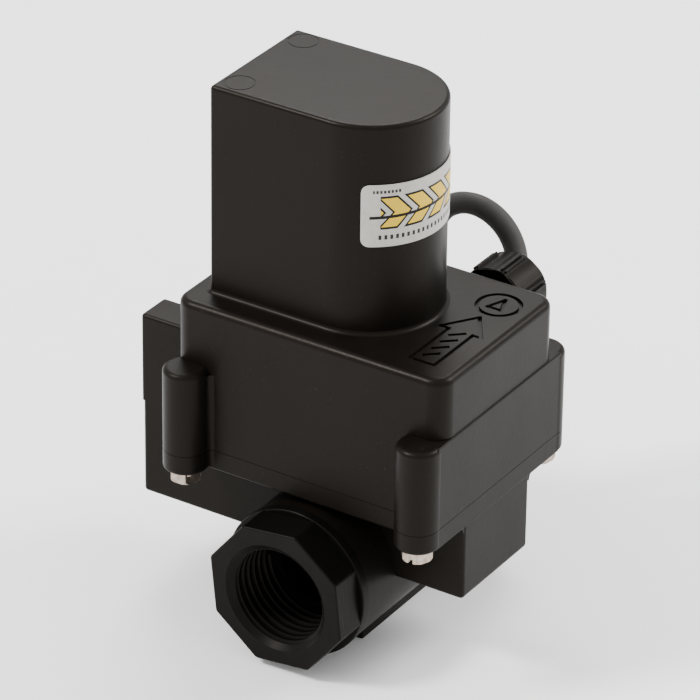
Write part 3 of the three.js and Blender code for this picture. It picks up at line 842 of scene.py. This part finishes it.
for vertex in label.data.vertices:
    angle = vertex.co.x / MM / label_radius
    height = (label_low + label_high) / 2 * MM + vertex.co.y
    vertex.co = (
        (tower_centre + label_radius * math.cos(angle)) * MM, label_radius * math.sin(angle) * MM, height)
only(label)
thicken = label.modifiers.new("thickness", "SOLIDIFY")
thicken.thickness = 0.2 * MM
thicken.offset = 1
bpy.ops.object.modifier_apply(modifier="thickness")
choose(label, "FACE", lambda face: True)
bpy.ops.mesh.normals_make_consistent(inside=False)
leave()
smooth(label, 40)


def printed_vinyl(name):
    finish = Finish(name, Specular_IOR_Level=0.12)
    where = finish.add("ShaderNodeUVMap", {"uv_map": "print"}, {})
    across = finish.add("ShaderNodeSeparateXYZ", {}, {"Vector": where}, 0) * label_length
    up = finish.add("ShaderNodeSeparateXYZ", {}, {"Vector": where}, 1) * label_height

    def within(value, low, high):
        return (value > low) * (value < high)

    middle = 7.0
    lean = across + abs(up - middle) * 0.9
    pitch = 5.2
    place = finish.fraction(lean, pitch) * pitch
    band = within(across, 3.6, label_length - 3.2)
    dark_edge = within(place, 0.7, 4.7) * within(up, 3.6, 10.4) * band
    yellow = within(place, 1.15, 4.2) * within(up, 4.05, 9.95) * band
    sweep = within(up - across * 0.03, middle - 1.35, middle - 0.75) * within(across, 1.6, label_length - 1.6)
    ruled = within(across, 3.2, label_length - 3)
    ticks = within(up, 1.5, 2.4) * (finish.fraction(across, 1.1) < 0.5) * ruled
    heading = within(up, 11.0, 11.6) * (finish.fraction(across, 0.7) < 0.62) * within(across, 2.2, 7.6)
    wear = finish.noise(700, 4, 0.6)
    ground = finish.ramp(wear, [(0.3, (0.36, 0.348, 0.32, 1)), (0.7, (0.42, 0.406, 0.375, 1))])
    ink = (0.006, 0.005, 0.004, 1)
    colour = finish.blend(dark_edge, ground, ink)
    colour = finish.blend(yellow, colour, (0.6, 0.4, 0.03, 1))
    colour = finish.blend(sweep, colour, ink)
    colour = finish.blend(finish.most(ticks, heading), colour, (0.02, 0.018, 0.016, 1))
    finish.feed(Base_Color=colour, Roughness=finish.ramp(wear, [(0.3, grey(0.34)), (0.7, grey(0.5))]))
    return finish.bump(wear, 0.00002, 0.4).material


dress(label, printed_vinyl("printed_vinyl"))
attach(label, "housing")
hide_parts("label")


# ---- cable end: a two-way black connector, lying in the middle of the coil ----
# A moulded housing with two sockets, a latch on its top and a ribbed grip where the cable enters.
connector_low, connector_high = ([value / MM for value in corner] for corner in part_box("cable_connector"))
middle_y = (connector_low[1] + connector_high[1]) / 2
x0, x1 = connector_low[0], connector_high[0]
plug = block("connector_shell", (x0 + 6, connector_low[1], 0), (x1, connector_high[1], 8.4))
soften(plug, lambda edge: True, 0.6, 3)
neck = rod("neck", (x0, middle_y, 5), 8, 3.4, "X", 48, tip=4.2)
soften(neck, rim_of("X", x0), 0.5, 3)
grips = [rod("grip", (x0 + 1.4 + 1.5 * number, middle_y, 5), 0.7, 4.3, "X", 40) for number in range(3)]
for grip in grips:
    soften(grip, lambda edge: edge.calc_face_angle(0) > 0.6, 0.15, 2)
latch = block("latch", (x0 + 9, middle_y - 1.6, 8), (x1 - 2, middle_y + 1.6, 9.3))
soften(latch, rim_of("Z", 9.3), 0.4, 3)
catch = block("catch", (x1 - 5, middle_y - 1.6, 9), (x1 - 3.6, middle_y + 1.6, 10))
combine(plug, [neck, *grips, latch, catch], "UNION")
window_rows = [middle_y + side * 2.6 for side in (1, -1)]
windows = [block("window", (x1 - 7, row - 1.6, 2.6), (x1 + 1, row + 1.6, 6.6)) for row in window_rows]
gap_low, gap_high = connector_low[1] - 1, connector_low[1] + 0.4
gaps = [block("gap", (x0 + 8 + 1.6 * number, gap_low, 2), (x0 + 8.7 + 1.6 * number, gap_high, 7))
        for number in range(4)]
combine(plug, [*windows, *gaps], "DIFFERENCE")
smooth(plug)
dress(plug, moulded_nylon("connector_nylon", 0.007, 0.45))
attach(plug, "housing")
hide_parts("cable_connector")


# ---- cable tie: a black nylon strap round the three turns of the coil ----
# One moulding: a thin flat strap, drawn tight through the square head on top of the coil.
tie_angle = math.radians(70)
tie_radius = cable_diameter * 5.45
bpy.ops.mesh.primitive_cylinder_add(
    vertices=40, radius=1, depth=2.6 * MM, end_fill_type="NOTHING", rotation=(math.pi / 2, 0, 0))
tie = bpy.context.object
tie.scale = (4.75 * MM, 1, 1)
tie = settle("cable_tie")
for vertex in tie.data.vertices:
    vertex.co.z = vertex.co.z * 4.12 * MM + 4.42 * MM
only(tie)
strap = tie.modifiers.new("strap", "SOLIDIFY")
strap.thickness = 0.4 * MM
strap.offset = 1
bpy.ops.object.modifier_apply(modifier="strap")
head = block("tie_head", (-2.1, -1.9, 8.0), (2.1, 1.9, 9.9))
soften(head, lambda edge: True, 0.4, 3)
combine(tie, [head], "UNION")
tie.rotation_euler = (0, 0, tie_angle)
tie.location = (
    (coil_centre[0] + tie_radius * math.cos(tie_angle)) * MM,
    (coil_centre[1] + tie_radius * math.sin(tie_angle)) * MM,
    0,
)
only(tie)
bpy.ops.object.transform_apply(location=True, rotation=True, scale=True)
smooth(tie)
dress(tie, moulded_nylon("tie_nylon", 0.006, 0.36))
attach(tie, "housing")


# ---- the pieces inside keep the shapes they were made with, and get their own finishes ----
# Rubber seals, moulded nylon, a bright steel magnet circuit, plated steel, wound copper, a small
# circuit board and its two wires.
def repaint(material, *nodes):
    for node in nodes:
        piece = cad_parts[node]
        piece.data.materials.clear()
        piece.data.materials.append(material)


def soft_rubber(name):
    """Black nitrile rubber, dull, with a slight bloom."""
    finish = Finish(name, Specular_IOR_Level=0.35)
    bloom = finish.noise(350, 4, 0.6)
    finish.feed(
        Base_Color=finish.ramp(bloom, [(0.35, grey(0.012)), (0.7, grey(0.024))]),
        Roughness=finish.ramp(bloom, [(0.3, grey(0.7)), (0.7, grey(0.88))]),
    )
    return finish.bump(finish.noise(3000, 2), 0.00004, 0.5).material


def turned_steel(name, colour, low, high):
    """Bare metal with fine lathe lines across its axis."""
    finish = Finish(name, Metallic=1.0)
    lines = finish.noise(500, 3, 0.6, (0.2, 0.2, 6))
    darker = tuple(value * 0.8 for value in colour[:3]) + (1,)
    finish.feed(
        Base_Color=finish.ramp(lines, [(0.3, darker), (0.7, colour)]),
        Roughness=finish.ramp(lines, [(0.3, grey(low)), (0.7, grey(high))]),
    )
    return finish.bump(lines, 0.00003, 0.6).material


def wound_copper(name, gauge):
    """Enamelled copper wire in even turns, a wire's width apart up the bobbin, with painted shade in the
    grooves between turns.
    """
    finish = Finish(name, Metallic=1.0, Coat_Weight=0.6, Coat_Roughness=0.15)
    height = finish.add("ShaderNodeSeparateXYZ", {}, {"Vector": finish.place()}, 2)
    turns = finish.wave(height, gauge * MM)
    finish.feed(
        # painted shade: the copper colour is darkened to brown-black in the grooves between turns, where the
        # wave falls to 0
        Base_Color=finish.ramp(turns, [(0.0, (0.14, 0.045, 0.02, 1)), (0.6, (0.58, 0.24, 0.11, 1))]),
        Roughness=finish.ramp(turns, [(0.0, grey(0.5)), (1.0, grey(0.25))]),
    )
    return finish.bump(turns, gauge * MM / 3, 0.9).material


def circuit_board(name):
    """Green solder mask over copper tracks, on glass fibre."""
    finish = Finish(name, Specular_IOR_Level=0.5)
    weave = finish.noise(1500, 2, 0.5, (3, 1, 1))
    tracks = finish.noise(260, 0, 0.0, (1, 1, 2.4))
    copper_under = finish.ramp(tracks, [(0.49, grey(0)), (0.5, grey(1)), (0.53, grey(1)), (0.54, grey(0))])
    finish.feed(
        Base_Color=finish.blend(copper_under, (0.008, 0.05, 0.02, 1), (0.04, 0.15, 0.05, 1)),
        Roughness=finish.ramp(weave, [(0.3, grey(0.3)), (0.7, grey(0.48))]),
    )
    return finish.bump(weave, 0.00003, 0.4).material


def wire_skin(name, colour):
    """Thin PVC insulation, a little uneven along its length."""
    finish = Finish(name, Specular_IOR_Level=0.45)
    streaks = finish.noise(600, 3)
    darker = tuple(value * 0.75 for value in colour[:3]) + (1,)
    finish.feed(
        Base_Color=finish.ramp(streaks, [(0.3, darker), (0.7, colour)]),
        Roughness=finish.ramp(streaks, [(0.3, grey(0.38)), (0.7, grey(0.5))]),
    )
    return finish.bump(streaks, 0.00003, 0.4).material


rubber = soft_rubber("nitrile_rubber")
repaint(rubber, "cover_gasket", "inlet_o_ring", "outlet_o_ring", "diaphragm", "pilot_seal", "gland_seal")
inner_nylon = moulded_nylon("inner_nylon", 0.008, 0.45)
repaint(inner_nylon, "bonnet", "coil_bobbin", "gland_body", "gland_locknut", "poppet")
magnet_steel = turned_steel("magnet_steel", (0.56, 0.55, 0.53, 1), 0.25, 0.4)
repaint(magnet_steel, "guide_tube", "fixed_core", "plunger")
repaint(turned_steel("spring_wire", (0.6, 0.59, 0.57, 1), 0.2, 0.34), "plunger_spring", "diaphragm_spring")
bonnet_screws = ["bonnet_screw_" + corner_name for corner_name in places]
repaint(plated_steel("zinc_strip"), "yoke_frame", "coil_nut", *bonnet_screws)
repaint(wound_copper("coil_wire", 0.35), "coil_winding")
repaint(circuit_board("driver_board"), "driver_board")
repaint(wire_skin("red_wire", (0.55, 0.03, 0.02, 1)), "lead_wire_red")
repaint(wire_skin("black_wire", (0.02, 0.02, 0.022, 1)), "lead_wire_black")


# ---- springs and diaphragm: each gets a mesh of its own, left in the shape it was made with ----
# Two springs of wound steel wire, each pushed up from below, and a rubber diaphragm clamped at its
# rim, whose middle rises with the poppet.
def shorten(node):
    """Gives a piece its own copy of its mesh; its shape is not changed."""
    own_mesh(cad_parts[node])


shorten("plunger_spring")
shorten("diaphragm_spring")
shorten("diaphragm")


# ---- floor and light: a plain pale floor under soft boxes, in a white room ----
# The floor is matt paper. Three small soft boxes give the black plastic its bright edges.
bpy.ops.mesh.primitive_plane_add(size=8, location=(0, 0, 0))
floor = settle("floor")
paper = Finish("pale_paper", Specular_IOR_Level=0.1)
paper_fibre = paper.noise(30, 3)
paper.feed(
    Base_Color=paper.ramp(paper_fibre, [(0.3, grey(0.90)), (0.7, grey(0.92))]),
    Roughness=paper.ramp(paper_fibre, [(0.3, grey(0.9)), (0.7, grey(0.95))]),
)
floor.data.materials.append(paper.material)

room_light = bpy.data.worlds.new("white_room")
room_light.use_nodes = True
room_light.node_tree.nodes["Background"].inputs["Color"].default_value = (1, 1, 1, 1)
room_light.node_tree.nodes["Background"].inputs["Strength"].default_value = 1.25
bpy.context.scene.world = room_light


def soft_box(name, place, target, size, power):
    data = bpy.data.lights.new(name, "AREA")
    data.shape = "RECTANGLE"
    data.size, data.size_y = size
    data.energy = power
    lamp = bpy.data.objects.new(name, data)
    bpy.context.collection.objects.link(lamp)
    way = Vector(target) - Vector(place)
    turn = way.to_track_quat("-Z", "Y").to_matrix().to_4x4()
    lamp.matrix_world = Matrix.Translation(place) @ turn


soft_box("key_box", (0.55, 0.55, 0.65), (0, 0, 0.06), (0.35, 0.35), 10)
soft_box("top_box", (-0.35, 0.5, 0.75), (0, 0, 0.06), (0.4, 0.4), 6.5)
soft_box("edge_box", (-0.5, -0.55, 0.85), (0, 0, 0.06), (0.22, 0.22), 14)
